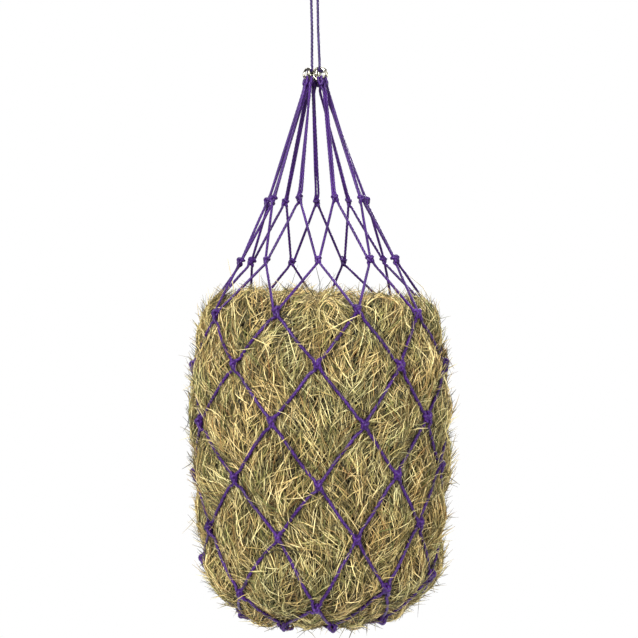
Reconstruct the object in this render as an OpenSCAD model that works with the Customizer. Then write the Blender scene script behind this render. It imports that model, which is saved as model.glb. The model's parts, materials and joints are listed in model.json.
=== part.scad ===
// Hay net: a knotted cord net, gathered on nine steel rings by a draw cord and filled with hay.
// Millimetres, +Z up. The origin is the point that the hanging loop hangs from.

/* [Cord] */
// Diameter of the cord that the net is knotted from
cord_d = 4; // [3.6:0.1:4.2]
// Diameter of the draw cord
draw_d = 4; // [3.6:0.1:4.2]
// Radius of the round body of each knot in the net
knot_r = 6.5; // [6:0.1:6.5]

/* [Rings] */
// Outer diameter of each steel ring
ring_od = 20; // [19.5:0.1:20]
// Diameter of the rings' wire
ring_wire = 2.5; // [2.2:0.1:2.6]
// Height from the hanging point down to the middle of the rings
ring_drop = 193.5; // [190:0.5:200]
// Distance of each ring's middle from the net's centre line
ring_out = 10.5; // [10.5:0.1:11]
// Turn of each ring away from pointing straight out, which lets the bunch close up
ring_swirl = 40; // [38:1:42]

/* [Filled net] */
// Radius of the filled net, to the middle of the cords
fill_r = 188; // [182:1:196]
// Drop from the hanging point to the base loop
net_drop = 1009; // [990:1:1030]
// Number of flakes that the hay was put in as
flakes = 6; // [6:1:6]

/* [Hanging loop] */
// Width inside the hanging loop
loop_w = 24; // [20:1:26]
// Drop from the hanging point to the middle of the knot under the loop
knot_drop = 66; // [64:1:68]
// Radius of the knot under the loop
top_knot_r = 8.5; // [8:0.1:9]
// Length of each free end at the knot
tail_len = 22; // [16:1:24]

/* [Hidden] */
meshes = 9;
half_pitch = 180 / meshes;
cord_r = cord_d / 2;
draw_r = draw_d / 2;
wire_r = ring_wire / 2;
ring_r = ring_od / 2 - wire_r;

// Each row of knots: its radius as a share of fill_r, and its drop as a share of net_drop.
row_share = [0.4, 0.62, 0.89, 0.98, 1, 0.985, 0.945, 0.885, 0.596];
drop_share = [0.379, 0.468, 0.545, 0.62, 0.698, 0.779, 0.856, 0.937, 0.99];
rows = len(row_share);

// The last half meshes end in small bights on the base loop.
base_r = 16;
bight_gap = 0.25;
bight_r = 2 * cord_r + bight_gap;

// Clear distance between the hay and the round knots, and between a leg's end and a knot.
hay_gap = 0.3;
butt_gap = 0.1;
leg_aside = 0.5;
flake_gap = 0.4;

// The rings stand round the centre line with a gap at the front for the draw cord's two strands.
first_ring = 30;
ring_step = 35;
bead_proud = 0.25;
bead_len = 2.4;

// Hitch of each top loop: a thin collar round the wire, pulled tight, low on the ring's outer side.
hitch_angle = -50;
hitch_span = 30;
hitch_bore = wire_r + 0.45;
hitch_r = hitch_bore + 1.9;
strand_spread = 13;
strand_out = hitch_r + cord_r + 0.1;
knot_strand_x = 2.4;
knot_strand_z = 6.8;

// Draw cord: its circle through the rings, and the two places where its strands start to rise.
draw_circle_r = 11;
draw_lift = 4.5;
draw_from = 22;
draw_to = 330;
rise_z = 8 - ring_drop;
rise_right = [6.5, -14, rise_z];
rise_left = [-5, -12.5, rise_z];
strand_gap = 1.8;
strand_top = top_knot_r + 0.7;
strand_sides = 12;
strand_rings = 12;

bend_r = draw_r + 0.2;
loop_r = loop_w / 2 + draw_r;
loop_leg_x = 4.2;
loop_gap = 0.3;
tail_tilt = 14;

$fn = 48;
round_fn = 96;

purple = "#56349a";
dark_purple = "#45287f";
steel = "#c9ccd0";
hay_colours = ["#a39a5e", "#b1a468", "#9a9155", "#aa9f62", "#a0965a", "#b0a46a"];

// ---- places ----

// A point turned about Z by a.
function turned(p, a) = [p.x * cos(a) - p.y * sin(a), p.x * sin(a) + p.y * cos(a), p.z];

// The point at radius r and height z, at angle a round from the front.
function around(r, a, z) = turned([0, -r, z], a);

// Row i counts from 1 at the top. Every other row is turned by half a mesh.
function row_r(i) = fill_r * row_share[i - 1];
function row_z(i) = -net_drop * drop_share[i - 1];
function row_angle(i, k) = 2 * half_pitch * k + (i % 2 == 1 ? half_pitch : 0);
function knot_at(i, k) = around(row_r(i), row_angle(i, k), row_z(i));

function ring_angle(k) = first_ring + ring_step * k;

// A point in ring k's own plane: t is its angle up from straight out, rho its distance from the middle.
function on_ring(k, rho, t) =
    turned(turned([rho * cos(t), 0, rho * sin(t)], ring_swirl) + [ring_out, 0, 0], ring_angle(k) - 90)
    - [0, 0, ring_drop];

function toward(a, b, d) = a + (b - a) * d / norm(b - a);

// ---- shapes ----

module rod(a, b, r) {
    v = b - a;
    translate(a)
        rotate([0, acos(v.z / norm(v)), atan2(v.y, v.x)])
            cylinder(h = norm(v), r = r);
}

module torus(r_mid, r_tube, span = 360) {
    rotate_extrude(angle = span, $fn = round_fn)
        translate([r_mid, 0])
            circle(r_tube, $fn = 32);
}

// Local frame of ring k: X points out in the ring's plane, Z up.
module at_ring(k) {
    translate([0, 0, -ring_drop])
        rotate([0, 0, ring_angle(k) - 90])
            translate([ring_out, 0, 0])
                rotate([0, 0, ring_swirl])
                    children();
}

// A tube swept along points, for a cord that lies free.
function side_of(d) = norm(cross(d, [0, 1, 0])) > 0.01 ? cross(d, [0, 1, 0]) : cross(d, [1, 0, 0]);
function unit(v) = v / norm(v);
module tube(points, d, sides) {
    n = len(points);
    along = unit(points[n - 1] - points[0]);
    across = unit(side_of(along));
    third = cross(along, across);
    verts = [
        for (p = points)
            for (s = [0:sides - 1])
                p + d / 2 * (cos(360 * s / sides) * across + sin(360 * s / sides) * third)
    ];
    walls = [
        for (i = [0:n - 2])
            for (s = [0:sides - 1])
                let (t = (s + 1) % sides)
                    [i * sides + s, i * sides + t, (i + 1) * sides + t, (i + 1) * sides + s]
    ];
    first_cap = [for (s = [0:sides - 1]) sides - 1 - s];
    last_cap = [for (s = [0:sides - 1]) (n - 1) * sides + s];
    polyhedron(verts, [for (w = concat(walls, [first_cap, last_cap])) [for (j = [len(w) - 1:-1:0]) w[j]]]);
}

// ---- hanging loop, knot and draw cord ----

knot_mid = [0, 0, -knot_drop];
loop_mid = [0, 0, draw_r - loop_r];

module hanging_loop() {
    color(purple) {
        translate(loop_mid)
            rotate([90, 0, 0])
                torus(loop_r, draw_r, 180);
        for (side = [-1, 1])
            let (top = loop_mid + [side * loop_r, 0, 0],
                 low = knot_mid + [side * loop_leg_x, 0, 0]) {
                translate(top) sphere(bend_r);
                rod(top, toward(low, top, top_knot_r + loop_gap), draw_r);
            }
    }
}

module top_knot() {
    color(dark_purple)
        translate(knot_mid)
            sphere(top_knot_r);
}

module knot_tails() {
    color(purple)
        for (side = [-1, 1])
            translate(knot_mid)
                rotate([0, 90 + tail_tilt, side * 35 + (side > 0 ? 0 : 180)])
                    translate([0, 0, top_knot_r + butt_gap])
                        cylinder(h = tail_len, r = draw_r);
}

// A taut strand, from just over where it rises out of the rings to just under the knot.
module drawcord_strand(foot, side) {
    head = [side * 4.8, 0, -knot_drop - strand_top];
    start = toward(foot, head, strand_gap);
    color(purple)
        tube([for (i = [0:strand_rings]) start + (head - start) * i / strand_rings], draw_d, strand_sides);
}

module drawcord_circle() {
    color(purple) {
        translate([0, 0, draw_lift - ring_drop])
            rotate([0, 0, draw_from - 90])
                torus(draw_circle_r, draw_r, draw_to - draw_from);
        for (riser = [[draw_from, rise_right], [draw_to, rise_left]])
            let (bend = around(draw_circle_r, riser[0], draw_lift - ring_drop)) {
                translate(bend) sphere(bend_r);
                rod(bend, riser[1], draw_r);
            }
    }
}

// ---- steel rings ----

module ring(k) {
    color(steel)
        at_ring(k)
            rotate([90, 0, 0]) {
                torus(ring_r, wire_r);
                rotate([0, 0, 150])
                    translate([ring_r, 0, 0])
                        rotate([90, 0, 0])
                            cylinder(h = bead_len, r = wire_r + bead_proud, center = true, $fn = 32);
            }
}

// ---- the net ----

// Nine hitches, one round each ring's wire, that the top loops hang by.
module ring_hitches() {
    color(dark_purple)
        for (k = [0:meshes - 1])
            at_ring(k)
                rotate([90, 0, 0])
                    rotate([0, 0, hitch_angle - hitch_span / 2])
                        rotate_extrude(angle = hitch_span, $fn = round_fn)
                            translate([ring_r, 0])
                                difference() {
                                    circle(hitch_r);
                                    circle(hitch_bore);
                                }
}

// Nine loops below the hitches. Each has two strands down to a first knot.
module top_loops() {
    color(purple)
        for (k = [0:meshes - 1])
            for (side = [-1, 1])
                rod(on_ring(k, ring_r + strand_out, hitch_angle + side * strand_spread),
                    knot_at(1, k) + turned([side * knot_strand_x, 0, knot_strand_z], row_angle(1, k)),
                    cord_r);
}

// One course: a row of knots, and the legs from each down to two knots of the next row.
module net_course(i) {
    color(i % 2 == 1 ? purple : dark_purple)
        for (k = [0:meshes - 1]) {
            translate(knot_at(i, k)) sphere(knot_r);
            for (side = [-1, 1])
                let (here = knot_at(i, k),
                     angle = row_angle(i, k) + side * half_pitch,
                     next = i < rows
                         ? around(row_r(i + 1), angle, row_z(i + 1)) - turned([side * leg_aside, 0, 0], angle)
                         : around(base_r, angle, -net_drop),
                     stop = i < rows ? knot_r + butt_gap : bight_r + cord_r + butt_gap)
                    rod(toward(here, next, knot_r + butt_gap), toward(next, here, stop), cord_r);
        }
}

module base_bights() {
    color(dark_purple)
        for (k = [0:meshes - 1])
            translate(around(base_r, 2 * half_pitch * k, -net_drop))
                rotate([0, 0, 2 * half_pitch * k - 90])
                    rotate([90, 0, 0])
                        torus(bight_r, cord_r);
}

module base_loop() {
    color(purple)
        translate([0, 0, -net_drop])
            torus(base_r, cord_r);
}

// ---- hay ----

// The hay's outline lies inside the rows of knots, by the knots' radius and a small gap.
function row_point(i) = i > rows ? [base_r, -net_drop] : [row_r(i), row_z(i)];
function inward(d) = unit([d.y, -d.x]);
function hay_point(i) =
    let (n = inward(unit(row_point(i) - row_point(i - 1)) + unit(row_point(i + 1) - row_point(i))))
        row_point(i) + (knot_r + hay_gap) * n;
first_hay_row = 3;
hay_top = row_z(first_hay_row) + 33;
hay_bottom = -net_drop + bight_r + cord_r + hay_gap;
hay_outline = concat(
    [[0, hay_bottom], [base_r + bight_r, hay_bottom]],
    [for (i = [rows:-1:first_hay_row]) hay_point(i)],
    [[0.787 * fill_r, hay_top - 13], [0.70 * fill_r, hay_top - 2], [0.47 * fill_r, hay_top], [0, hay_top]]
);

module hay_flake(k) {
    width = 2 * fill_r / flakes;
    color(hay_colours[k])
        intersection() {
            rotate_extrude($fn = round_fn)
                polygon(hay_outline);
            translate([width * k - fill_r + flake_gap / 2, -fill_r, -net_drop])
                cube([width - flake_gap, 2 * fill_r, net_drop]);
        }
}

hanging_loop();
top_knot();
knot_tails();
drawcord_strand(rise_left, -1);  // drawcord_left
drawcord_strand(rise_right, 1);  // drawcord_right
drawcord_circle();
ring(0);  // ring_1
ring(1);  // ring_2
ring(2);  // ring_3
ring(3);  // ring_4
ring(4);  // ring_5
ring(5);  // ring_6
ring(6);  // ring_7
ring(7);  // ring_8
ring(8);  // ring_9
ring_hitches();
top_loops();
net_course(1);  // net_course_1
net_course(2);  // net_course_2
net_course(3);  // net_course_3
net_course(4);  // net_course_4
net_course(5);  // net_course_5
net_course(6);  // net_course_6
net_course(7);  // net_course_7
net_course(8);  // net_course_8
net_course(9);  // net_course_9
base_bights();
base_loop();
hay_flake(0);  // hay_flake_1
hay_flake(1);  // hay_flake_2
hay_flake(2);  // hay_flake_3
hay_flake(3);  // hay_flake_4
hay_flake(4);  // hay_flake_5
hay_flake(5);  // hay_flake_6
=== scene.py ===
# %% [markdown]
# # A filled hay net, made piece by piece
# A hay net is a bag knotted from thin braided cord. It hangs by a draw cord that runs through steel
# rings at its neck, and the hay inside gives the slack net its shape. The measured frame comes first,
# because every cord, ring and flake below takes its place from it.

# %% Load the fixed frame
import json
import math
import random
from functools import partial

import bmesh
import bpy
import numpy as np
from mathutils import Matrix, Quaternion, Vector, noise
from mathutils.kdtree import KDTree


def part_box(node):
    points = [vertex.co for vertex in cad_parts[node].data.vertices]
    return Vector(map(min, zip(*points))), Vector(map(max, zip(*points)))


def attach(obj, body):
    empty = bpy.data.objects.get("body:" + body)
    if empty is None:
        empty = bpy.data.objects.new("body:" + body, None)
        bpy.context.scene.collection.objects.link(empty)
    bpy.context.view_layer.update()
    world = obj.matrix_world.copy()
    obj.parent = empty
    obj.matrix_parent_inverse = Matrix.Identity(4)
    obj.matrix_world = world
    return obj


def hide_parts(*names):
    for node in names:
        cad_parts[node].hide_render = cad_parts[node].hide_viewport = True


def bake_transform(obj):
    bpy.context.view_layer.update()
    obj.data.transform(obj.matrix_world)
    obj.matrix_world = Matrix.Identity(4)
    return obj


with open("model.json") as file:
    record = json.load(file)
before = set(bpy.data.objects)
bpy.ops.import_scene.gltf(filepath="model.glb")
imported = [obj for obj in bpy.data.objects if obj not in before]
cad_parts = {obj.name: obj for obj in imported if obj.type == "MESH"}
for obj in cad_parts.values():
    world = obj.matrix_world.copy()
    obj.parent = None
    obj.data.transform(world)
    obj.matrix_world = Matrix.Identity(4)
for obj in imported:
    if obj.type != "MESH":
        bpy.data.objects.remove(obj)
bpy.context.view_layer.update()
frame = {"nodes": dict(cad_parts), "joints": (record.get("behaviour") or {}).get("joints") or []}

# %% [markdown]
# ## Camera
# A long lens from 2.7 m away keeps the net's upright lines nearly parallel. The camera stands a little
# above the middle of the net and looks slightly down, and it leans by less than a degree.

# %% Camera
camera_data = bpy.data.cameras.new("camera")
camera_data.lens = 101.57
camera_data.sensor_width = 36
camera = bpy.data.objects.new("camera", camera_data)
bpy.context.scene.collection.objects.link(camera)
camera.location = (0.0005, -2.7, -0.501)
look = Vector((0.0005, 0, -0.5595)) - camera.location
lean_of_camera = Quaternion((0, 0, 1), math.radians(-0.75))
camera.rotation_mode = "QUATERNION"
camera.rotation_quaternion = look.to_track_quat("-Z", "Y") @ lean_of_camera
bpy.context.scene.camera = camera
print("camera at", [round(c, 4) for c in camera.location])

# %% [markdown]
# ## Helpers for node trees
# Shader trees and geometry trees are both made of nodes and links. One function adds any node. A maths
# node is named with its operation, as in Math.ADD. The values that follow fill the sockets in order, and
# a dictionary fills them by name or number. A node given as a value stands for its first output. Each
# tree gets its own "put", which is that function with the tree filled in. Colours are picked as screen
# colours and turned into the linear light that a renderer adds up.

# %% Colours, nodes and ramps
def colour(code):
    parts = [int(code[i : i + 2], 16) / 255 for i in (1, 3, 5)]
    return [c / 12.92 if c <= 0.04045 else ((c + 0.055) / 1.055) ** 2.4 for c in parts] + [1.0]


def add(tree, kind, *values, **settings):
    kind, _, operation = kind.partition(".")
    node = tree.nodes.new("ShaderNode" + kind if operation else kind)
    if operation:
        node.operation = operation
    for name, setting in settings.items():
        setattr(node, name, setting)
    for place, given in enumerate(values):
        for key, value in (given if isinstance(given, dict) else {place: given}).items():
            if isinstance(value, bpy.types.Node):
                value = value.outputs[0]
            if isinstance(value, bpy.types.NodeSocket):
                tree.links.new(value, node.inputs[key])
            else:
                node.inputs[key].default_value = value
    return node


def mark(ramp, *marks):
    stops = ramp.color_ramp.elements
    stops[0].position, stops[0].color = marks[0]
    stops[1].position, stops[1].color = marks[-1]
    for position, tone in marks[1:-1]:
        stops.new(position).color = tone


def new_finish(name):
    material = bpy.data.materials.new(name)
    material.use_nodes = True
    material.node_tree.nodes.clear()
    print("finish", name)
    return material, partial(add, material.node_tree)


# %% [markdown]
# ## The net's cord, as a finish
# Net cord is a round braid of polypropylene yarn, a soft plastic with only a faint gloss. The yarn has one
# colour, but this finish paints shade where a yarn dives under its neighbour and a highlight where it comes
# to the surface. The cord tree below stores that height on each point as an attribute called braid, and
# this finish reads it, so the painted shade and highlight follow every bend of the cord. Noise 0.7 mm
# across adds the fluff, and noise 26 mm across the fading.

# %% Braided polypropylene
def cord_finish(name, deep, face, painted_crown_highlight):
    material, put = new_finish(name)
    braid = put("ShaderNodeAttribute", attribute_name="braid").outputs["Fac"]
    place = put("ShaderNodeTexCoord").outputs["Object"]
    fading = put("ShaderNodeTexNoise", {"Vector": place, "Scale": 38.0, "Detail": 3.0})
    fluff = put("ShaderNodeTexNoise", {"Vector": place, "Scale": 1500.0, "Detail": 2.0})
    height = put("Math.MULTIPLY_ADD", fluff, 0.35, put("Math.MULTIPLY", braid, 0.8))
    # painted shade and highlight: the braid's hollows get the dark colour and its crowns the light one
    tones = put("ShaderNodeValToRGB", height)
    mark(tones, (0.12, colour(deep)), (0.5, colour(face)), (0.95, colour(painted_crown_highlight)))
    shade = put("ShaderNodeMapRange", fading, 0.3, 0.7, 0.62, 1.18)
    tint = put("VectorMath.SCALE", {0: tones, 3: shade})
    bump = put("ShaderNodeBump", {"Strength": 0.5, "Distance": 0.0004, "Height": height})
    skin = put("ShaderNodeBsdfPrincipled", {
        "Base Color": tint, "Normal": bump, "Roughness": 0.38, "Specular IOR Level": 0.16})
    put("ShaderNodeOutputMaterial", skin)
    return material


net_purple = cord_finish("braided_polypropylene_net", "#0f041c", "#290e47", "#4a2972")
draw_purple = cord_finish("braided_polypropylene_draw_cord", "#0f051c", "#20103a", "#38235c")

# %% [markdown]
# ## The net's cord, as a Geometry Nodes tree
# All cords share one tree. It takes the line that a cord follows and sweeps a round section along it,
# then it lifts and sinks the surface by a crossing wave, which gives the bumps of the braid. Making the
# sweep in a tree keeps its sizes as named inputs, so a thicker or coarser cord is only a new number. The
# braid repeats every 6.2 mm, which is coarser than on a real cord of 4 mm, so that it shows.

# %% Start a tree with named inputs
def new_tree(name, inputs):
    tree = bpy.data.node_groups.new(name, "GeometryNodeTree")
    for label, kind, value in [("Geometry", "Geometry", None)] + inputs:
        socket = tree.interface.new_socket(label, in_out="INPUT", socket_type="NodeSocket" + kind)
        if value is not None:
            socket.default_value = value
    tree.interface.new_socket("Geometry", in_out="OUTPUT", socket_type="NodeSocketGeometry")
    print("tree", name, "with inputs", [label for label, kind, value in inputs])
    return tree, partial(add, tree), tree.nodes.new("NodeGroupInput").outputs


# %% Tree that braids a cord along a line
braided_cord, put, give = new_tree("braided_cord", [
    ("Cord diameter", "Float", 0.004),
    ("Sides", "Int", 10),
    ("Braid height", "Float", 0.0003),
    ("Braid length", "Float", 0.0062),
    ("Finish", "Material", None),
])
step = put("GeometryNodeSplineParameter").outputs
radius = put("Math.MULTIPLY", give["Cord diameter"], 0.5)
line = put("GeometryNodeMeshToCurve", give["Geometry"])
circle = put("GeometryNodeCurvePrimitiveCircle", {"Resolution": give["Sides"], "Radius": radius})
line, circle = (put("GeometryNodeCaptureAttribute", curve) for curve in (line, circle))
for capture, measure in ((line, step["Length"]), (circle, step["Factor"])):
    capture.capture_items.new("FLOAT", "kept")
    braided_cord.links.new(measure, capture.inputs[1])
along, around = line.outputs[1], circle.outputs[1]
girth = put("GeometryNodeInputNamedAttribute", {"Name": "girth"}, data_type="FLOAT")
tube = put("GeometryNodeCurveToMesh", line, circle, girth, {"Fill Caps": True})
lobes = put("Math.COSINE", put("Math.MULTIPLY", around, 6 * math.pi))
turns = put("Math.MULTIPLY", along, 2 * math.pi)
turns = put("Math.COSINE", put("Math.DIVIDE", turns, give["Braid length"]))
height = put("Math.MULTIPLY_ADD", put("Math.MULTIPLY", lobes, turns), 0.5, 0.5)
lift = put("Math.SUBTRACT", height, 0.5)
lift = put("Math.MULTIPLY", lift, give["Braid height"])
offset = put("VectorMath.SCALE", {0: put("GeometryNodeInputNormal"), 3: lift})
tube = put("GeometryNodeStoreNamedAttribute", tube, {"Name": "braid", "Value": height})
tube = put("GeometryNodeSetPosition", tube, {"Offset": offset})
tube = put("GeometryNodeRealizeInstances", tube)
put("NodeGroupOutput", put("GeometryNodeSetMaterial", tube, {"Material": give["Finish"]}))

# %% [markdown]
# ## From a tree to a plain mesh
# A tree is a live modifier, and the finished net should be plain meshes. So each piece is grown once:
# the tree is put on a bare source mesh, its result is copied into a new mesh, and the source is removed.

# %% Grow a piece from a tree
def show(name, mesh):
    item = bpy.data.objects.new(name, mesh)
    bpy.context.scene.collection.objects.link(item)
    return item


def shade_smooth(mesh):
    mesh.polygons.foreach_set("use_smooth", [True] * len(mesh.polygons))


def grow(name, source, tree, values):
    modifier = source.modifiers.new(tree.name, "NODES")
    modifier.node_group = tree
    for item in tree.interface.items_tree:
        if item.item_type == "SOCKET" and item.in_out == "INPUT" and item.name in values:
            modifier[item.identifier] = values[item.name]
    mesh = bpy.data.meshes.new_from_object(source.evaluated_get(bpy.context.evaluated_depsgraph_get()))
    bpy.data.objects.remove(source)
    mesh.name = name
    shade_smooth(mesh)
    print(name, "has", sum(len(p.vertices) - 2 for p in mesh.polygons), "triangles")
    return show(name, mesh)


def mesh_object(name, points, edges=(), faces=()):
    mesh = bpy.data.meshes.new(name)
    mesh.from_pydata([tuple(p) for p in points], list(edges), list(faces))
    return show(name, mesh)


# %% [markdown]
# ## Smooth lines through a few points
# A cord is limp, so it never turns a corner. Each route is given by a few points, and a spline through
# them is cut into even steps of 1.3 mm. The fourth number of a point is the cord's girth there, because
# a braid gets thinner where it is pulled tight and bunches up where it is knotted.

# %% Routes
STEP = 0.0013


def smooth(points, closed=False):
    p = np.array(points, float)
    if closed:
        p = np.vstack([p[-1], p, p[0], p[1]])
    else:
        p = np.vstack([2 * p[0] - p[1], p, 2 * p[-1] - p[-2]])
    out = []
    for a, b, c, d in zip(p[:-3], p[1:-2], p[2:-1], p[3:]):
        ab, bc, cd = (max(np.linalg.norm(v[:3]), 1e-6) ** 0.5 for v in (b - a, c - b, d - c))
        t = np.linspace(0, 1, max(3, int(bc**2 / 0.0006)), endpoint=False)[:, None]
        m1 = bc * ((b - a) / ab - (c - a) / (ab + bc) + (c - b) / bc)
        m2 = bc * ((c - b) / bc - (d - b) / (bc + cd) + (d - c) / cd)
        out.append((2 * t**3 - 3 * t**2 + 1) * b + (t**3 - 2 * t**2 + t) * m1
                   + (3 * t**2 - 2 * t**3) * c + (t**3 - t**2) * m2)
    dense = np.vstack(out + [p[-2][None]])
    length = distance_along(dense)
    even = np.linspace(0, length[-1], max(4, round(length[-1] / STEP)) + 1)
    even = even[:-1] if closed else even
    return np.stack([np.interp(even, length, dense[:, i]) for i in range(dense.shape[1])], 1)


def distance_along(points):
    steps = np.linalg.norm(np.diff(points[:, :3], axis=0), axis=1)
    return np.concatenate([[0], np.cumsum(steps)])


# %% [markdown]
# ## From a route to a cord
# A piece may hold several routes, so their points are put in one mesh of bare edges, with the girth as an
# attribute on each point. That mesh is what the cord tree grows on. A second helper says where a finished
# piece belongs: the body that it moves with and the measured parts that it stands for.

# %% Braid a piece and give it its place
CORD = 0.004


def braid(name, routes, finish, diameter=CORD):
    points, edges, girths = [], [], []
    for route, closed in routes:
        first = len(points)
        points += [p[:3] for p in route]
        girths += [p[3] if len(p) > 3 else 1.0 for p in route]
        edges += [(i, i + 1) for i in range(first, len(points) - 1)]
        if closed:
            edges.append((len(points) - 1, first))
    source = mesh_object(name + "_route", points, edges)
    source.data.attributes.new("girth", "FLOAT", "POINT").data.foreach_set("value", girths)
    return grow(name, source, braided_cord, {"Cord diameter": diameter, "Finish": finish})


def keep(piece, body, slot, *nodes):
    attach(piece, body)
    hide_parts(*nodes)
    return piece


# %% [markdown]
# ## Draw cord
# The draw cord is one cord. It runs round through all nine rings, and its two ends rise together, taut,
# to a knot over the net. The two rising strands are pieces of their own, because they wind round each
# other when the net turns. Their length is what hangs between the rings and the knot.

# %% Rising strands
KNOT_TOP = -0.066
FOOT_GAP, SIDE_SLACK, BACK_SLACK = 0.0015, 0.0006, 0.0004
feet = {"left": Vector((-0.005, -0.0125, -0.1855)), "right": Vector((0.0065, -0.014, -0.1855))}
heads = {"left": Vector((-0.0048, 0, -0.0752)), "right": Vector((0.0048, 0, -0.0752))}
for side in ("left", "right"):
    foot, head = feet[side], heads[side]
    foot = foot + (head - foot).normalized() * FOOT_GAP
    slack = Vector((SIDE_SLACK if side == "left" else -SIDE_SLACK, BACK_SLACK, 0))
    middle = foot.lerp(head, 0.5) + slack
    route = smooth([foot, foot.lerp(middle, 0.5), middle, middle.lerp(head, 0.5), head])
    strand = braid("drawcord_" + side + "_braid", [(route, False)], draw_purple)
    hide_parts("drawcord_" + side)
    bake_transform(strand)

# %% [markdown]
# ## The knot over the net
# Both ends are brought up together and tied with a wrapped knot: a few tight turns round the strands,
# two short free ends, and an open loop over it that goes on a hook. The turns are one helix, so the
# knot keeps the cord's own thickness instead of being a ball.

# %% Wrapped knot
WRAP_RADIUS, WRAP_TURNS, WRAP_PITCH = 0.0056, 3.2, 0.0035
wrap = [(0.001, 0.002, KNOT_TOP - 0.006, 0.9)]
for i in range(43):
    turn = i / 42 * WRAP_TURNS
    wrap.append((WRAP_RADIUS * math.sin(turn * 2 * math.pi), -WRAP_RADIUS * math.cos(turn * 2 * math.pi),
                 KNOT_TOP + (turn - WRAP_TURNS / 2) * WRAP_PITCH, 0.95))
wrap.append((0.0005, 0.001, KNOT_TOP + 0.006, 0.9))
cores = [[(s * 0.0043, 0, -0.0745, 0.98), (s * 0.003, 0, -0.071, 0.9), (s * 0.0023, 0, -0.066, 0.85),
          (s * 0.003, 0, -0.0605, 0.9), (s * 0.0042, 0, -0.0575, 1.0)] for s in (-1, 1)]
top_knot = braid("top_knot_wraps", [(smooth(r), False) for r in [wrap] + cores], draw_purple)
keep(top_knot, "knot", "draw_cord", "top_knot")


# %% Free ends
def round_about(r, degrees, z):
    a = math.radians(degrees)
    return Vector((r * math.sin(a), -r * math.cos(a), z))


START, DROOP, CURL, SAG = 0.006, math.radians(14), 6, 4
ends = []
for azimuth, side in ((35, 1), (145, -1)):
    out = round_about(1, azimuth, 0)
    across = Vector((out.y, -out.x, 0))
    tail = []
    for r, girth in ((0.0065, 0.95), (0.012, 1), (0.019, 1), (0.0285, 1.05)):
        bend = (r - START) ** 2
        drop = Vector((0, 0, KNOT_TOP - r * math.sin(DROOP) - SAG * bend))
        tail.append((*(out * r * math.cos(DROOP) + across * side * CURL * bend + drop), girth))
    ends.append((smooth(tail), False))
tails = keep(braid("knot_free_ends", ends, draw_purple), "knot", "draw_cord", "knot_tails")

# %% Hanging loop
half = [(0.0042, -0.0605), (0.0062, -0.05), (0.0101, -0.034), (0.0134, -0.02), (0.0139, -0.009),
        (0.0102, -0.0018)]
loop = [(x, 0, z) for x, z in half] + [(0, 0, 0.002)] + [(-x, 0, z) for x, z in half[::-1]]
hanging_loop = keep(braid("hanging_loop_braid", [(smooth(loop), False)], draw_purple),
                    "hanger", "draw_cord", "hanging_loop")

# %% [markdown]
# ## The draw cord's round
# At the neck the draw cord makes nearly a full circle through the nine rings, and then each end turns up
# into its strand. It is slightly thinner there, because the rings press it.

# %% Draw cord round the rings
ROUND_RADIUS, ROUND_Z = 0.011, -0.189
left, right = feet["left"], feet["right"]
circle = [right + Vector((-0.0003, 0.0018, 0.0016)), right + Vector((-0.001, 0.001, -0.001))]
circle += [round_about(ROUND_RADIUS, a, ROUND_Z) for a in np.linspace(26, 326, 16)]
circle += [left + Vector((0, 0.0006, -0.001)), left + Vector((0, 0.0016, 0.0016))]
drawn = braid("drawcord_circle_braid", [(smooth([(*p, 0.95) for p in circle]), False)], draw_purple)
keep(drawn, "net", "draw_cord", "drawcord_circle")

# %% [markdown]
# ## Rings
# Each ring is a bent and butt-welded length of steel wire with a bright nickel plate. A torus alone is
# too perfect, so the wire swells a little at its weld. The plate is a mirror, so nearly all that shows is
# what surrounds it. Its colour is broken into dark olive and pale patches about 4 mm across: the dark ones
# are a painted reflection of the hay around it, and they are made rougher too. Hair scratches 0.4 mm apart
# keep the mirror from being clean.

# %% Nickel-plated steel
nickel, put = new_finish("nickel_plated_steel")
place = put("ShaderNodeTexCoord").outputs["Object"]
reflection_patches = put("ShaderNodeTexNoise", {"Vector": place, "Scale": 240.0, "Detail": 3.0})
scratch = put("ShaderNodeTexNoise", {"Vector": place, "Scale": 2600.0, "Detail": 2.0})
# painted reflection: the dark olive patches in the plate's colour stand in for the hay that it mirrors
tone = put("ShaderNodeValToRGB", reflection_patches)
mark(tone, (0.42, colour("#2b271c")), (0.6, colour("#c8c4b4")))
rough = put("ShaderNodeMapRange", reflection_patches, 0.3, 0.7, 0.38, 0.16)
bump = put("ShaderNodeBump", {"Strength": 0.15, "Distance": 0.0001, "Height": scratch})
put("ShaderNodeOutputMaterial", put("ShaderNodeBsdfPrincipled", {
    "Base Color": tone, "Roughness": rough, "Normal": bump, "Metallic": 1.0}))

# %% [markdown]
# ## Where each ring is
# Each ring has a joint of its own in the frame. The joint gives the ring's middle and its axle, and with
# the direction away from the net's centre line that makes a frame to draw the ring in.

# %% Ring frames
RING, WIRE = 0.00875, 0.0014
ring_frames = {}
for joint in frame["joints"]:
    if joint["child"].startswith("ring_"):
        middle, axle = Vector(joint["pos_m"]), Vector(joint["axis"]).normalized()
        out = axle.cross(Vector((0, 0, 1))).normalized()
        out = out if out.dot(Vector((middle.x, middle.y, 0))) > 0 else -out
        ring_frames[joint["child"]] = middle, out, axle
print("found", len(ring_frames), "rings")


def on_ring(name, radius, degrees, aside=0.0):
    middle, out, axle = ring_frames[name]
    a = math.radians(degrees)
    return middle + out * (radius * math.cos(a)) + Vector((0, 0, radius * math.sin(a))) + axle * aside


# %% Nine welded rings
AROUND_RING, AROUND_WIRE = 84, 16
WELD_AT, WELD_HALF, WELD_SWELL = 150, 9, 0.00028


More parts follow.
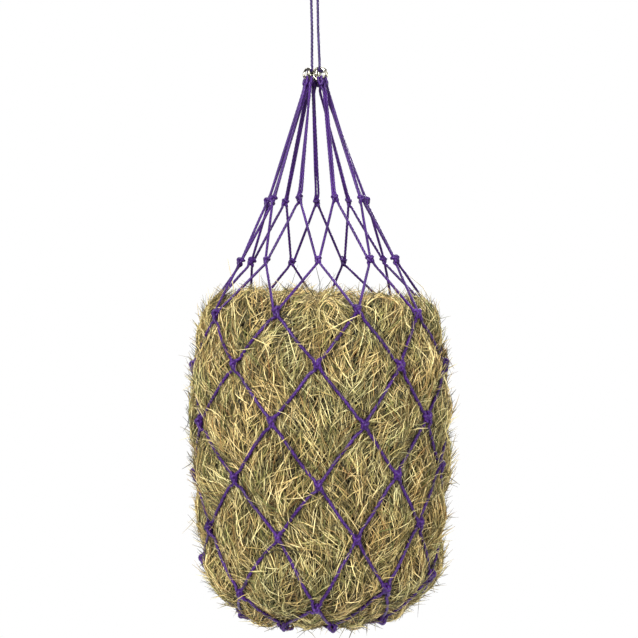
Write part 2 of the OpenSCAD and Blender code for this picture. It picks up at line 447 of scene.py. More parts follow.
def wire_ring(name):
    points, faces = [], []
    for i in range(AROUND_RING):
        degrees = 360 * i / AROUND_RING
        from_weld = (degrees - WELD_AT + 180) % 360 - 180
        wire = WIRE + WELD_SWELL * math.exp(-((from_weld / WELD_HALF) ** 2))
        for j in range(AROUND_WIRE):
            b = 2 * math.pi * j / AROUND_WIRE
            points.append(on_ring(name, RING + wire * math.cos(b), degrees, wire * math.sin(b)))
            n, m = (i + 1) % AROUND_RING, (j + 1) % AROUND_WIRE
            faces.append([a * AROUND_WIRE + c for a, c in ((i, j), (n, j), (n, m), (i, m))])
    return mesh_object(name + "_wire", points, [], faces)


def outward(piece):
    shape = bmesh.new()
    shape.from_mesh(piece.data)
    bmesh.ops.recalc_face_normals(shape, faces=shape.faces)
    shape.to_mesh(piece.data)
    shape.free()
    shade_smooth(piece.data)


for name in sorted(ring_frames):
    ring = wire_ring(name)
    outward(ring)
    ring.data.materials.append(nickel)
    keep(ring, name, "ring_steel", name)
print("made", len(ring_frames), "rings")

# %% [markdown]
# ## The net's profile
# The measured frame holds the net as nine even rows of nine knots. The rows' heights and widths are read
# from it, and one smooth profile is drawn through them, from the third row down to the loop under the
# hay. A place on that profile is a length along it, so a knot that slips down also moves inwards.

# %% Rows and profile
KNOT = 0.0065


def row_of(i):
    points = np.array([v.co for v in frame["nodes"][f"net_course_{i}"].data.vertices])
    z = points[:, 2].max() - KNOT
    level = points[np.abs(points[:, 2] - z) < 0.002]
    return np.hypot(level[:, 0], level[:, 1]).max() - KNOT, z


rows = [row_of(i) for i in range(1, 10)]
base_z = (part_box("base_loop")[0].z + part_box("base_loop")[1].z) / 2
base_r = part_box("base_loop")[1].x - CORD / 2
print("rows", [(round(r, 4), round(z, 4)) for r, z in rows], "base", round(base_r, 4), round(base_z, 4))
profile = smooth([(*p, 0.0) for p in rows[1:] + [(base_r, base_z)]])[:, :2]
profile_s = distance_along(profile)


def on_profile(s):
    return float(np.interp(s, profile_s, profile[:, 0])), float(np.interp(s, profile_s, profile[:, 1]))


def row_s(i):
    r, z = rows[i - 1] if i < 10 else (base_r, base_z)
    return float(profile_s[np.argmin(np.hypot(profile[:, 0] - r, profile[:, 1] - z))])


# %% [markdown]
# ## Where the net's knots sit
# A real net is never even: it turns a little as it hangs, and knots slip up or down as the hay pushes.
# Each knot gets its small slip, in degrees round the net and in millimetres up it. The front knots have
# slips of their own, and the others get small random ones from a fixed seed. The two lowest rows slip
# further along the profile, because it runs inwards there and not only down.

# %% Slips and knots
slips = {
    3: {-1: (-1, 3), 0: (-1, 5), 1: (-4, -4)},
    4: {-2: (-3, -1), -1: (-1, 4), 0: (-1, 6), 1: (-2, 0), 2: (2, -4)},
    5: {-2: (-7, -2), -1: (-1, 5), 0: (-1, -1), 1: (-6, 3), 2: (-3, 6)},
    6: {-2: (-5, 0), -1: (-1, 4), 0: (-1, -3), 1: (-5, 7), 2: (-12, 12)},
    7: {-2: (-5, 3), -1: (0, 1), 0: (-4, -4), 1: (-9, 11), 2: (-5, 8)},
    8: {-2: (-8, 22), -1: (-5, -4), 0: (-3, -19), 1: (-8, 3), 2: (-13, 8)},
    9: {-2: (-10, 6), -1: (-11, -3), 0: (-13, -3), 1: (-13, 1)},
}
row_turn = {5: -1, 6: -2, 7: -3.5, 8: -5, 9: -9}
base_turn = -10
along_profile = {8: 1.35, 9: 2.2}
chance = random.Random(7)
knots = {}
for i in range(1, 11):
    for k in range(9):
        near = k if k <= 4 else k - 9
        turn, up = (chance.uniform(-2.2, 2.2), chance.uniform(-4, 4)) if i > 2 else (0, 0)
        turn, up = slips.get(i, {}).get(near, (turn + row_turn.get(i, 0), up))
        if i == 10:
            turn, up = base_turn, 0
        angle = 40 * k + (20 if i % 2 else 0) + turn
        s = row_s(i) - up / 1000 * along_profile.get(i, 1) if i > 2 else None
        r, z = on_profile(s) if i > 2 else rows[i - 1]
        knots[i, k] = angle, s, round_about(r, angle, z)
print("placed", len(knots), "knots and bights")


# %% Which way a knot faces
def knot_axes(i, k):
    angle, s, _ = knots[i, k]
    if i <= 2:
        above = (0.012, -0.1935) if i == 1 else rows[0]
        below = rows[i]
    else:
        above, below = on_profile(s - 0.01), on_profile(s + 0.01)
    radial, tangent = round_about(1, angle, 0), round_about(1, angle + 90, 0)
    up = (radial * (above[0] - below[0]) + Vector((0, 0, above[1] - below[1]))).normalized()
    return tangent, up, up.cross(tangent)


# %% [markdown]
# ## The netting knot
# Hay nets are tied with the sheet bend. The upper mesh comes down as a narrow bight, and the lower cord
# goes up through it, round behind both its legs, and out under itself. Both routes are written in small
# units, in a frame that is flat on the net: x along the row, z up the net and y into it. The knot sizes
# say how long one unit is each way, in metres: the knots that hang free are pulled tight and round, and
# those on the hay are looser. A braid bunches up in a knot, so it is drawn thicker there.

# %% Routes through one knot
def mirrored(half, foot):
    return half + [foot] + [(-x, y, z) for x, y, z in half[::-1]]


BIGHT = mirrored([(-1.35, 0, 1.7), (-0.95, 0, 0.4), (-0.65, 0, -0.65)], (0, 0, -1.0))
STRAIGHT_BIGHT = mirrored([(-0.75, 0, 3.2), (-0.75, 0, 1.5), (-0.85, 0, 0.3), (-0.65, 0, -0.65)],
                          (0, 0, -1.0))
WRAP = [(-1.3, 0.5, -2.0), (-0.35, 0.9, -0.95), (-0.05, -0.1, -0.3), (0.15, -1.5, 0.05),
        (0.6, -1.7, 0.5), (1.0, -1.2, 1.0), (1.25, 0, 1.15), (0.8, 0.9, 1.15), (0, 1.0, 1.1),
        (-0.8, 0.9, 1.0), (-1.25, 0, 0.8), (-0.9, -1.0, 0.65), (-0.2, -1.15, 0.4), (0.7, -1.1, -0.1),
        (1.05, -0.95, -0.7), (1.5, -0.4, -1.9)]
KNOT_SIZE = (0.0029, 0.0034, 0.0048)
HANGING_KNOT_SIZE = (0.0025, 0.0031, 0.0037)
KNOT_GIRTH, KNOT_PROUD, LEG_SPREAD = 1.27, 0.0022, 1.45
lean = {key: (chance.uniform(-0.35, 0.35), chance.uniform(0.9, 1.1)) for key in knots}


def through_knot(i, k, route):
    on_hay = i > 2
    across, up, into = knot_axes(i, k)
    tilt, size = lean[i, k]
    middle = knots[i, k][2] - into * (KNOT_PROUD if on_hay else 0)
    wide, thick, tall = KNOT_SIZE if on_hay else HANGING_KNOT_SIZE
    points = []
    for n, (x, y, z) in enumerate(route):
        outer = n in (0, len(route) - 1)
        if outer:
            x *= LEG_SPREAD if on_hay else 1
        else:
            x, z = x * math.cos(tilt) - z * math.sin(tilt), x * math.sin(tilt) + z * math.cos(tilt)
        p = middle + (across * x * wide + into * y * thick + up * z * tall) * size
        points.append((*p, 1.0 if outer else KNOT_GIRTH))
    return points


# %% [markdown]
# ## Legs of the meshes
# Between two knots a cord lies on the hay, so it follows the round body instead of cutting straight
# across, and it wanders a little to one side. Above the hay it hangs straight. The points of each leg
# are found by moving evenly round the net and down its profile.

# %% Legs
def leg(start, end, first, last):
    (a0, s0, _), (a1, s1, _) = knots[start], knots[end]
    if s0 is None or s1 is None:
        return [(*Vector(first[:3]).lerp(Vector(last[:3]), f), 1.0) for f in (0.25, 0.5, 0.75)]
    a1 += 360 * round((a0 - a1) / 360)
    bow, press = chance.uniform(-1.6, 1.6), chance.uniform(-0.4, 0.8)
    points = []
    for f in (0.16, 0.3, 0.45, 0.6, 0.75, 0.88):
        r, z = on_profile(s0 + (s1 - s0) * f)
        swell = math.sin(math.pi * f)
        r -= 0.001 * press * swell
        degrees_per_mm = 1 / max(r * 17.45, 0.6)
        a = a0 + (a1 - a0) * f + (bow * swell + 0.5 * math.sin(9 * f + 5 * bow)) * degrees_per_mm
        points.append((*round_about(r, a, z), 1.0))
    return points


# %% [markdown]
# ## Courses of netting
# A net is knotted row by row, so one course is one long cord: down a leg, through the knot below, up the
# next leg, and round that knot. Each course here is one closed cord that does the same, and it stands
# for the course of the frame that has its number. The last course has no knots under it: its bights
# are threaded on a short loop of cord under the hay.

# %% Routes of the nine courses
BIGHT_WIDTH, BIGHT_SIZE = 0.0032, 0.0037


def base_bight(k):
    angle = knots[10, k][0]
    centre = round_about(base_r, angle, base_z)
    out, across, up = round_about(1, angle, 0), round_about(1, angle + 90, 0), Vector((0, 0, 1))
    spots = [(-0.6, 1.9, -0.5), (-0.5, 0.9, -0.75), (-0.35, 0.0, -1.0), (-0.1, -0.9, -0.5),
             (0.1, -0.9, 0.5), (0.35, 0.0, 1.0), (0.5, 0.9, 0.75), (0.6, 1.9, 0.3)]
    return [(*(centre + across * x * BIGHT_WIDTH + (out * y + up * z) * BIGHT_SIZE), 0.85)
            for x, y, z in spots]


course_routes = {}
for i in range(1, 10):
    route = []
    for k in range(9):
        after, lower = (i, (k + 1) % 9), (i + 1, (k + 1) % 9 if i % 2 else k)
        wrapped = through_knot(i, k, WRAP)
        bight = through_knot(*lower, BIGHT) if i < 9 else base_bight(lower[1])
        next_wrap = through_knot(*after, WRAP[:1])[0]
        down_leg = leg((i, k), lower, wrapped[-1], bight[0])
        up_leg = leg(after, lower, next_wrap, bight[-1])[::-1]
        route += wrapped + down_leg + bight + up_leg
    course_routes[i] = smooth(route, closed=True)
print("cord in the net:", round(sum(len(r) for r in course_routes.values()) * STEP, 1), "m")

# %% [markdown]
# ## Courses as cords
# Cord that lies on the hay is pressed a little flat against it and so looks wider, by less than a
# millimetre. That is drawn as a thicker cord. The short loop under the hay closes the net's base.

# %% Nine courses and the base loop
CORD_ON_HAY, BASE_LOOP_CORD, TOP_LOOP_CORD = 0.0047, 0.0042, 0.0038
for i, route in course_routes.items():
    nodes = [f"net_course_{i}"] + (["base_bights"] if i == 9 else [])
    thickness = CORD_ON_HAY if i > 2 else CORD
    course = braid(f"net_course_{i}_cord", [(route, True)], net_purple, thickness)
    keep(course, "net", "net_cord", *nodes)
circle = [round_about(base_r, a, base_z + 0.0008 * math.sin(a)) for a in range(0, 360, 15)]
base_loop = braid("base_loop_cord", [(smooth([(*p, 1.0) for p in circle], closed=True), True)],
                  net_purple, BASE_LOOP_CORD)
keep(base_loop, "net", "net_cord", "base_loop")

# %% [markdown]
# ## Top loops
# Each ring holds one long loop. It is hitched on with a lark's head: the loop's bight goes through the
# ring, and both strands are passed through the bight and pulled down. From there the two strands run
# straight to one knot of the first row.

# %% Nine hitched loops
HITCH = mirrored([(-0.7, 0.3, -5.6), (-0.85, 0.4, -4.0), (-1, 0.3, -2.4), (-1, 1, -0.3), (-1, 0.75, 0.75),
                  (-1, 0, 1.05), (-1, -0.75, 0.75), (-1, -1, -0.2), (-1, -1.1, -1.3), (-0.6, -1.35, -2.0)],
                 (0, -1.45, -2.3))
HITCH_AT, HITCH_SIZE, HITCH_GIRTH = -72, (0.0026, 0.0033, 0.0034), 1.08
turn = math.radians(HITCH_AT)
loops = []
for k in range(9):
    name = f"ring_{k + 1}"
    out, axle = ring_frames[name][1:]
    outwards = out * math.cos(turn) + Vector((0, 0, math.sin(turn)))
    along_wire = -out * math.sin(turn) + Vector((0, 0, math.cos(turn)))
    spot = on_ring(name, RING, HITCH_AT)
    wide, deep, long = HITCH_SIZE
    hitch = [spot + along_wire * x * wide + axle * y * deep - outwards * z * long for x, y, z in HITCH]
    bight = through_knot(1, k, STRAIGHT_BIGHT)
    left, right = Vector(bight[0][:3]), Vector(bight[-1][:3])
    near_left, near_right = hitch[0].lerp(left, 0.08), hitch[-1].lerp(right, 0.08)
    route = ([(*near_left.lerp(left, f), 1.0) for f in (0.7, 0.35, 0.0)] + [(*p, HITCH_GIRTH) for p in hitch]
             + [(*near_right.lerp(right, f), 1.0) for f in (0.0, 0.35, 0.7)] + bight[::-1])
    loops.append((smooth(route, closed=True), True))
top_loops = braid("top_loops_cord", loops, net_purple, TOP_LOOP_CORD)
keep(top_loops, "net", "net_cord", "top_loops", "ring_hitches")

# %% [markdown]
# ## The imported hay
# Baled hay comes apart in flakes, and the flakes stand side by side in the net. Each is a dense body that
# swells out through the meshes and is pressed in under every cord. So the surface is built first as one
# closed skin round the whole filling: a point's distance to the nearest cord says how far it may swell,
# noise makes the lumps, and a crease runs down where two flakes meet.

# %% Nearest cord, creases and lumps
net_lines = np.vstack([r[:, :3] for i, r in course_routes.items() if i >= 2])[::2]
nets = KDTree(len(net_lines))
for n, p in enumerate(net_lines):
    nets.insert(p, n)
nets.balance()
flake_box = {k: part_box(f"hay_flake_{k}") for k in range(1, 7)}
creases = [(flake_box[k][1].x + flake_box[k + 1][0].x) / 2 for k in range(1, 6)]
top_z = flake_box[3][1].z
print("creases at x", [round(c, 3) for c in creases], "top", round(top_z, 3))


def lumps(p, size, seed):
    return noise.noise(Vector(p) / size + Vector((seed, 2 * seed, 3 * seed)))


# %% [markdown]
# ## How far the hay swells
# Right under a cord the skin sinks, and 36 mm away from every cord it swells most. Lumps of 70, 22 and 9
# mm are laid over each other. The top is loose hay: it is uneven, it falls off to the right and it sinks
# in the middle, where the rim's knots don't hold it up.

# %% Swell of one point of the skin
def swell_of(p, r, reach):
    free = min(1.0, max(0.0, (reach - 0.002) / 0.034))
    free = free * free * (3 - 2 * free)
    swell = -0.0024 + free * (0.008 + 0.004 * lumps(p, 0.07, 3))
    swell += min(1.0, reach / 0.012) * (0.0032 * lumps(p, 0.022, 5) + 0.0016 * lumps(p, 0.009, 9))
    edge = min(abs(p.x - c) for c in creases)
    swell -= 0.008 * math.exp(-((edge / 0.006) ** 2)) * min(1.0, reach / 0.02)
    if p.z > top_z - 0.03:
        high = min(1.0, (p.z - top_z + 0.03) / 0.025)
        slant = 0.045 * max(-0.12, min(0.17, p.x + 0.02))
        swell += high * (0.007 * lumps(p, 0.05, 11) - slant - 0.012 * (r < 0.14))
    return swell


# %% Outline and skin of the whole filling
top_part = [(0.0, top_z - 0.001), (0.06, top_z), (0.105, top_z - 0.001), (0.137, top_z - 0.007),
            (0.155, top_z - 0.018)]
side_part = [on_profile(s) for s in np.linspace(row_s(3), row_s(10), 48)]
outline = smooth([(r, z, 0.0, 0.0) for r, z in top_part + side_part + [(0.0, base_z + 0.004)]])[:, :2]
outline_s = distance_along(outline)
AROUND, DOWN, BODY_DEPTH = 230, 150, 0.006


def on_outline(s):
    return [float(np.interp(s, outline_s, outline[:, c])) for c in (0, 1)]


skin_points, skin_free, body_points = [], [], []
for m, s in enumerate(np.linspace(0, outline_s[-1], DOWN)):
    (r, z), (r0, z0), (r1, z1) = on_outline(s), on_outline(s - 0.003), on_outline(s + 0.003)
    slope = Vector((-(z1 - z0), 0, r1 - r0)).normalized()
    for n in range(AROUND if 0 < m < DOWN - 1 else 1):
        angle = 360 * n / AROUND
        p, normal = round_about(r, angle, z), round_about(slope.x, angle, slope.z)
        reach = nets.find(p)[2]
        swell = swell_of(p, r, reach)
        skin_points.append(p + normal * swell)
        body_points.append(p + normal * (swell - BODY_DEPTH))
        skin_free.append(min(1.0, max(0.0, (reach - 0.004) / 0.012)))
print("filling reaches", [round(max(abs(p[c]) for p in skin_points), 3) for c in range(3)])


# %% [markdown]
# ## Faces of the skin
# The rows of points are joined by four-sided faces, and each end is one point, so the faces there are
# triangles. Two meshes come from them: the skin that the straws lie on, which carries how free of the
# cords each point is, and the same shape 6 mm deeper, which is cut into the flakes.

# %% Join the points
def skin_index(m, n):
    return 0 if m == 0 else len(skin_points) - 1 if m == DOWN - 1 else 1 + (m - 1) * AROUND + n % AROUND


skin_faces = []
for m in range(DOWN - 1):
    for n in range(AROUND):
        corners = [skin_index(m, n), skin_index(m + 1, n), skin_index(m + 1, n + 1), skin_index(m, n + 1)]
        skin_faces.append(tuple(dict.fromkeys(corners)))
body = mesh_object("packed_body", body_points, [], skin_faces)
whole = mesh_object("whole_filling", skin_points, [], skin_faces)
whole.data.attributes.new("free", "FLOAT", "POINT").data.foreach_set("value", skin_free)
outward(whole)
print("skin has", len(skin_faces), "faces")

# %% [markdown]
# ## Hay colours
# Dry meadow hay is a mix: pale straw stems, olive leaves, some still green, a few brown ones. Each straw
# carries three numbers from its own tree: its tone, its kind and how deep it lies. The finish turns them
# into a colour, and the deeper a straw lies the darker it is painted, which is painted shade between the
# straws. Streaks 1 mm wide and 11 mm long keep even one straw from being flat. The packed bodies under the
# straws use the same colours, painted much darker as the shade in the gaps.

# %% Dry hay, loose and packed
HAY_TONES = ((0.0, "#1d170a"), (0.2, "#453820"), (0.38, "#73623a"), (0.55, "#978352"), (0.72, "#b4a16c"),
             (1.0, "#d8cb98"))
HAY_KINDS = ((0.0, "#6f7a3c", 0.45), (0.16, "#8d8a48", 0.12), (0.92, "#7d5a2c", 0.65))


def hay_finish(name, packed):
    material, put = new_finish(name)
    straw = put("ShaderNodeAttribute", attribute_name="straw").outputs["Vector"]
    own_tone, own_kind, own_depth = put("ShaderNodeSeparateXYZ", straw).outputs
    place = put("ShaderNodeTexCoord").outputs["Object"]
    stretched = put("ShaderNodeMapping", place, {"Scale": (900, 900, 90)})
    streak = put("ShaderNodeTexNoise", {"Vector": stretched, "Scale": 1.0, "Detail": 2.0})
    clump = put("ShaderNodeTexNoise", {"Vector": place, "Scale": 22.0, "Detail": 3.0})
    value = streak if packed else own_tone
    for pattern, amount in ((streak, 0.5), (clump, 0.35)):
        value = put("Math.MULTIPLY_ADD", put("Math.SUBTRACT", pattern, 0.5), amount, value)
    main = put("ShaderNodeValToRGB", value)
    mark(main, *((at, colour(code)) for at, code in HAY_TONES))
    kinds, weight = put("ShaderNodeValToRGB", own_kind), put("ShaderNodeValToRGB", own_kind)
    kinds.color_ramp.interpolation = weight.color_ramp.interpolation = "CONSTANT"
    mark(kinds, *((at, colour(code)) for at, code, share in HAY_KINDS))
    mark(weight, *((at, (share, share, share, 1)) for at, code, share in HAY_KINDS))
    mixed = put("ShaderNodeMix", {0: weight, 6: main, 7: kinds}, data_type="RGBA").outputs[2]
    # painted shade: a straw is darker the deeper it lies, and the packed bodies are darker still
    depth = put("ShaderNodeMapRange", own_depth, 0.16, 0.82, 0.05, 1.21)
    shade = put("Math.MULTIPLY", depth, 0.3 if packed else 1.0)
    patch = put("ShaderNodeTexNoise", {"Vector": place, "Scale": 16.0, "Detail": 2.0})
    cast = put("ShaderNodeValToRGB", patch)
    mark(cast, (0.35, (0.95, 1.0, 0.97, 1)), (0.65, (1.1, 1.0, 0.92, 1)))
    tint = put("VectorMath.SCALE", {0: mixed, 3: shade})
    tint = put("VectorMath.MULTIPLY", tint, cast)
    bump = put("ShaderNodeBump", {"Strength": 0.4, "Distance": 0.0006, "Height": streak})
    skin = put("ShaderNodeBsdfPrincipled", {"Base Color": tint, "Normal": bump, "Roughness": 0.62,
                                            "Specular IOR Level": 0.05 if packed else 0.35})
    put("ShaderNodeOutputMaterial", skin)
    return material


# the packed copy is the same hay colour in painted shade, for the gaps between straws
shaded_packed_hay = hay_finish("dry_meadow_hay_packed", True)
loose_hay = hay_finish("dry_meadow_hay_straws", False)

# %% [markdown]
# ## Six packed flakes
# Each flake is a slice of the filling. The body is copied and cut by two upright planes, and the open
# cuts are filled, so every flake is a closed body of its own with flat sides. A gap of 0.4 mm keeps it
# from being merged with its neighbours.

# %% Cut the filling into flakes
HALF_GAP = 0.0002


def cut_flake(k):
    shape = bmesh.new()
    shape.from_mesh(body.data)
    for crease, side in ((k - 2, -1), (k - 1, 1)):
        if 0 <= crease < len(creases):
            everything = shape.verts[:] + shape.edges[:] + shape.faces[:]
            bmesh.ops.bisect_plane(shape, geom=everything, plane_co=(creases[crease] - side * HALF_GAP, 0, 0),
                                   plane_no=(side, 0, 0), clear_outer=True)
            bmesh.ops.holes_fill(shape, edges=[e for e in shape.edges if e.is_boundary])
    bmesh.ops.triangulate(shape, faces=[f for f in shape.faces if len(f.verts) > 4])
    bmesh.ops.recalc_face_normals(shape, faces=shape.faces)
    mesh = bpy.data.meshes.new(f"hay_flake_{k}_packed")
    shape.to_mesh(mesh)
    open_edges = sum(1 for e in shape.edges if not e.is_manifold)
    shape.free()
    mesh.materials.append(shaded_packed_hay)
    shade_smooth(mesh)
    print(mesh.name, len(mesh.polygons), "faces,", open_edges, "open edges")
    return show(mesh.name, mesh)


for k in range(1, 7):
    keep(cut_flake(k), "net", "hay", f"hay_flake_{k}")

# %% [markdown]
# ## Straws, as a Geometry Nodes tree
# Tens of thousands of straws follow one rule, so a tree makes them. It scatters points over a flake's
# skin and lays a short line on each. The next cells build it step by step. It starts with its inputs:
# every size that tells one batch of straws from another has a name here.

# %% Tree that lays straws: inputs
laid_straws, put, give = new_tree("laid_straws", [
    ("Packed hay", "Object", None),
    ("Straws per square metre", "Float", 40000.0),
    ("Shortest", "Float", 0.018),
    ("Longest", "Float", 0.056),
    ("Straw width", "Float", 0.00104),
    ("Deepest", "Float", -0.006),
    ("Highest", "Float", 0.0035),
    ("Tip rise", "Float", 0.02),
    ("Scatter", "Float", 0.85),
    ("Over the cords", "Float", 0.0),
    ("Widest", "Float", 0.2105),
    ("Seed", "Int", 1),
    ("Finish", "Material", None),
])

# %% [markdown]
# ## A direction for each straw
# Straws lie in clumps that turn slowly over the surface, because a baler combs them. A soft noise gives
# the turn of the clump, and each straw then strays from it by its own random angle. All random numbers
# come from the same seed input, each with a different number added.

# %% Tree that lays straws: places, random numbers and directions
spots, out_of_skin = put("GeometryNodeDistributePointsOnFaces", give["Geometry"], {
    "Density": give["Straws per square metre"], "Seed": give["Seed"]}).outputs[:2]
here = put("GeometryNodeInputPosition")
luck = {}
for extra, (name, low, high) in enumerate((
        ("turn", -1.0, 1.0), ("length", 0.0, 1.0), ("depth", 0.0, 1.0), ("tone", -0.24, 1.08),
        ("kind", 0.0, 1.0), ("bend", -1.0, 1.0), ("rise", 0.0, 1.0), ("width", 0.6, 1.45)), 11):
    seed = put("Math.ADD", give["Seed"], float(extra))
    luck[name] = put("FunctionNodeRandomValue", {2: low, 3: high, "Seed": seed}).outputs[1]
flow = put("ShaderNodeTexNoise", {"Vector": here, "Scale": 13.0, "Detail": 2.0})
swing = put("Math.MULTIPLY", put("Math.SUBTRACT", flow, 0.5), 4.0)
swing = put("Math.ADD", swing, put("Math.MULTIPLY", luck["turn"], give["Scatter"]))
swing = put("Math.ADD", swing, math.pi / 2)
level = put("VectorMath.CROSS_PRODUCT", (0.13, 0.07, 1.0), out_of_skin)
level = put("VectorMath.NORMALIZE", level)
lie = put("ShaderNodeVectorRotate", {0: level, "Axis": out_of_skin, "Angle": swing},
          rotation_type="AXIS_ANGLE")
aside = put("VectorMath.CROSS_PRODUCT", out_of_skin, lie)
turned = put("FunctionNodeAxesToRotation", out_of_skin, lie, primary_axis="Z", secondary_axis="X")

# %% [markdown]
# ## What each straw keeps
# A straw's length, bend, depth, width and look are chosen at its point, before there is a line to bend.
# They are stored on the point, and the line inherits them. Few straws are long and very few have a tip
# that stands up, so those two numbers are raised to a power.

# %% Tree that lays straws: lengths and stored numbers
size = put("Math.SUBTRACT", give["Longest"], give["Shortest"])
size = put("Math.MULTIPLY_ADD", put("Math.POWER", luck["length"], 1.4), size,
           give["Shortest"])
tone_here = put("ShaderNodeTexNoise", {"Vector": here, "Scale": 30.0, "Detail": 2.0})
tone = put("Math.MULTIPLY_ADD", luck["tone"], 0.85, put("Math.MULTIPLY", tone_here, 0.25))
look_of = put("ShaderNodeCombineXYZ", tone, luck["kind"], luck["depth"])
bend = put("Math.MULTIPLY", put("Math.MULTIPLY", luck["bend"], 0.09), size)
deep = put("Math.SUBTRACT", give["Highest"], give["Deepest"])
deep = put("Math.MULTIPLY_ADD", luck["depth"], deep, give["Deepest"])
rise = put("Math.MULTIPLY", put("Math.POWER", luck["rise"], 9.0), give["Tip rise"])
wide = put("Math.MULTIPLY", luck["width"], give["Straw width"])
for name, kind, value in (("straw", "FLOAT_VECTOR", look_of), ("aside", "FLOAT_VECTOR", aside),
                          ("bend", "FLOAT", bend), ("deep", "FLOAT", deep), ("rise", "FLOAT", rise),
                          ("wide", "FLOAT", wide)):
    spots = put("GeometryNodeStoreNamedAttribute", spots, {"Name": name, "Value": value}, data_type=kind)
of_straw = {name: put("GeometryNodeInputNamedAttribute", {"Name": name},
                      data_type="FLOAT_VECTOR" if name == "aside" else "FLOAT")
            for name in ("aside", "bend", "deep", "rise", "wide", "free")}

# %% [markdown]
# ## Lines that bend and lie on the skin
# Each line is bent in an arc and pulled onto the skin, so it dips under the cords as the real straws do,
# and a few tips rise off it. Stray straws may pass over a cord instead. No point may stand out further
# than the widest radius, so the model is no larger than the measured one.

# %% Tree that lays straws: bent lines
one = put("GeometryNodeCurvePrimitiveLine", (-0.5, 0, 0), (0.5, 0, 0))
one = put("GeometryNodeResampleCurve", one, {"Count": 4})
many = put("GeometryNodeInstanceOnPoints", {0: spots, 2: one, "Rotation": turned, "Scale": size})
many = put("GeometryNodeRealizeInstances", many)
part = put("GeometryNodeSplineParameter")
from_middle = put("Math.ABSOLUTE", put("Math.MULTIPLY_ADD", part, 2.0, -1.0))
arc = put("Math.ADD", put("Math.POWER", from_middle, 2.0), -0.4)
arc = put("Math.MULTIPLY", arc, of_straw["bend"])
offset = put("VectorMath.SCALE", {0: of_straw["aside"], 3: arc})
many = put("GeometryNodeSetPosition", many, {"Offset": offset})

# %% Tree that lays straws: onto the skin
packed = put("GeometryNodeObjectInfo", give["Packed hay"]).outputs["Geometry"]
touch = put("GeometryNodeProximity", packed, target_element="FACES")
facing, free = (
    put("GeometryNodeSampleNearestSurface", packed, {"Value": value}, data_type=kind)
    for value, kind in ((put("GeometryNodeInputNormal"), "FLOAT_VECTOR"), (of_straw["free"], "FLOAT")))
UNDER_CORD, CORD_BACK = 0.0012, 0.0065
lift = put("Math.MULTIPLY", put("Math.ADD", of_straw["deep"], UNDER_CORD), free)
lift = put("Math.ADD", lift, -UNDER_CORD)
over = put("Math.MULTIPLY", put("Math.SUBTRACT", 1.0, free), give["Over the cords"])
lift = put("Math.MULTIPLY_ADD", over, CORD_BACK, lift)
tips = put("Math.MULTIPLY", put("Math.POWER", part, 2.5), of_straw["rise"])
lift = put("Math.ADD", lift, tips)
spot = put("VectorMath.ADD", touch, put("VectorMath.SCALE", {0: facing, 3: lift}))
flat = put("VectorMath.MULTIPLY", spot, (1.0, 1.0, 0.0))
flat = put("VectorMath.LENGTH", flat).outputs["Value"]
inside = put("Math.DIVIDE", give["Widest"], put("Math.MAXIMUM", flat, 0.001))
inside = put("Math.MINIMUM", inside, 1.0)
spot = put("VectorMath.MULTIPLY", spot, put("ShaderNodeCombineXYZ", inside, inside, 1.0))
many = put("GeometryNodeSetPosition", many, {"Position": spot})

# %% [markdown]
# ## A thin tapering section
# A straw is so thin that three sides are enough, and that keeps tens of thousands of them light. It
# tapers to both ends. The numbers that only shaped it are removed, and the three that colour it stay.

# %% Tree that lays straws: section, clean-up and finish
taper = put("Math.MULTIPLY", put("Math.POWER", from_middle, 3.0), 0.7)
taper = put("Math.SUBTRACT", 1.0, taper)
width = put("Math.MULTIPLY", taper, of_straw["wide"])
section = put("GeometryNodeCurvePrimitiveCircle", {"Resolution": 3, "Radius": 0.5})
blades = put("GeometryNodeCurveToMesh", many, section, width, {"Fill Caps": True})
for word in ("aside", "bend", "deep", "rise", "wide"):
    blades = put("GeometryNodeRemoveAttribute", blades, {"Name": word})
blades = put("GeometryNodeRealizeInstances", blades)
put("NodeGroupOutput", put("GeometryNodeSetMaterial", blades, {"Material": give["Finish"]}))
print("straw tree has", len(laid_straws.nodes), "nodes")

# %% [markdown]
# ## Straws on each flake
# The tree runs on the part of the skin that each flake shows. The two end flakes show the most skin, so
# their straws come in two lighter batches, each with its own seed.

# %% Lay the straws
STRAWS_PER_M2 = 80000.0


def lay(name, faces, **values):
    used = {}
    faces = [[used.setdefault(c, len(used)) for c in face] for face in faces]
    skin = mesh_object(name + "_skin", [skin_points[c] for c in used], [], faces)
    keep(grow(name, skin, laid_straws, {"Packed hay": whole, "Finish": loose_hay, **values}), "net", "hay")


def flake_faces(k):
    low, high = ([-1.0] + creases)[k - 1], (creases + [1.0])[k - 1]
    middles = [sum((skin_points[c] for c in face), Vector()) / len(face) for face in skin_faces]
    return [face for face, middle in zip(skin_faces, middles) if low <= middle.x < high]


for k, seeds in {1: "ab", 2: "a", 3: "a", 4: "a", 5: "a", 6: "ab"}.items():
    for batch, letter in enumerate(seeds):
        name = f"hay_flake_{k}_straws" + ("_" + letter if len(seeds) > 1 else "")
        density = STRAWS_PER_M2 / len(seeds)
        lay(name, flake_faces(k), **{"Straws per square metre": density, "Seed": 10 * k + batch})

# %% [markdown]
# ## Stray straws and crown tufts
# Hay that is handled gets untidy. A thin batch of strays lies across everything, over the cords too, and
# sticks out at the outline. On the top, where nothing presses the hay, a last batch stands up in tufts.

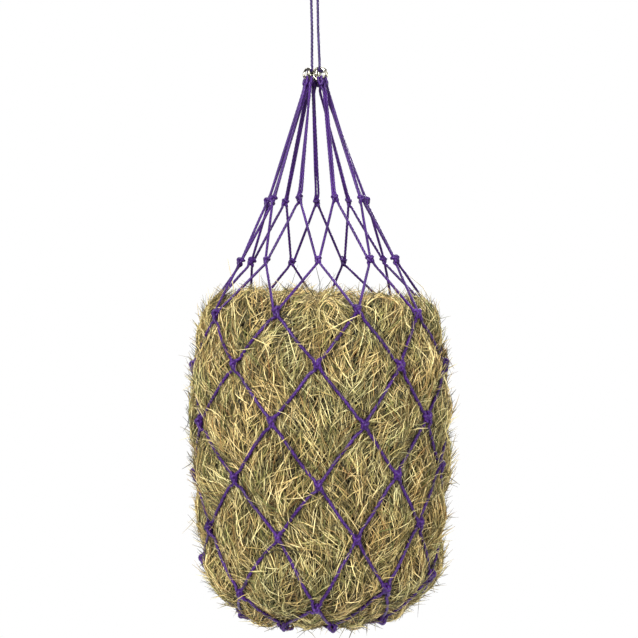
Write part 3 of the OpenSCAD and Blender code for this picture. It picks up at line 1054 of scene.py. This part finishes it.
# %% Lay the strays and the tufts
lay("hay_stray_straws", skin_faces, **{
    "Straws per square metre": 2600.0, "Shortest": 0.015, "Longest": 0.055, "Straw width": 0.0013,
    "Deepest": 0.001, "Highest": 0.004, "Tip rise": 0.03, "Scatter": 3.1, "Over the cords": 0.9, "Seed": 77})
lay("hay_crown_straws", [face for face in skin_faces if skin_points[face[0]].z > top_z - 0.02], **{
    "Straws per square metre": 2400.0, "Shortest": 0.02, "Longest": 0.06, "Straw width": 0.0012,
    "Deepest": 0.0, "Highest": 0.003, "Tip rise": 0.055, "Scatter": 3.1, "Seed": 91})
bpy.data.objects.remove(whole)
bpy.data.objects.remove(body)

# %% [markdown]
# ## Floor and light
# The net hangs in a white studio. A large soft light from the front left gives the hay its relief, a
# weaker one fills from the right, one from above lights the top, and one from behind keeps the back from
# going dark. The white surroundings light the rest evenly. The pale floor is far below, as it would be
# under a hung net.

# %% Studio
world = bpy.data.worlds.new("white_studio")
world.use_nodes = True
world.node_tree.nodes["Background"].inputs[0].default_value = (1, 1, 1, 1)
world.node_tree.nodes["Background"].inputs[1].default_value = 1.0
bpy.context.scene.world = world
bpy.context.scene.view_settings.view_transform = "Standard"

floor_paint, put = new_finish("matt_white_paint")
grain = put("ShaderNodeTexNoise", {"Scale": 3.0})
pale = put("ShaderNodeMapRange", grain, {3: 0.78, 4: 0.82})
put("ShaderNodeOutputMaterial", put("ShaderNodeBsdfPrincipled", {"Base Color": pale, "Roughness": 0.8}))
rim = [round_about(1.3, a, -1.65) for a in range(0, 360, 5)]
floor = mesh_object("floor", rim, [], [list(range(len(rim)))])
floor.data.materials.append(floor_paint)

NET_MIDDLE = Vector((0, 0, -0.6))
for name, place, width, power in (("key", (-1.2, -2.3, 0.6), 1.0, 152), ("fill", (1.9, -1.7, -0.2), 1.6, 50),
                                  ("top", (0.2, 0.3, 1.4), 1.4, 22), ("back", (0.9, 2.6, 0.5), 1.4, 100)):
    lamp = bpy.data.lights.new(name, "AREA")
    lamp.size, lamp.energy = width, power
    light = show(name, lamp)
    light.location = place
    light.rotation_mode = "QUATERNION"
    light.rotation_quaternion = (NET_MIDDLE - Vector(place)).to_track_quat("-Z", "Y")
    print(name, "light of", power, "W")
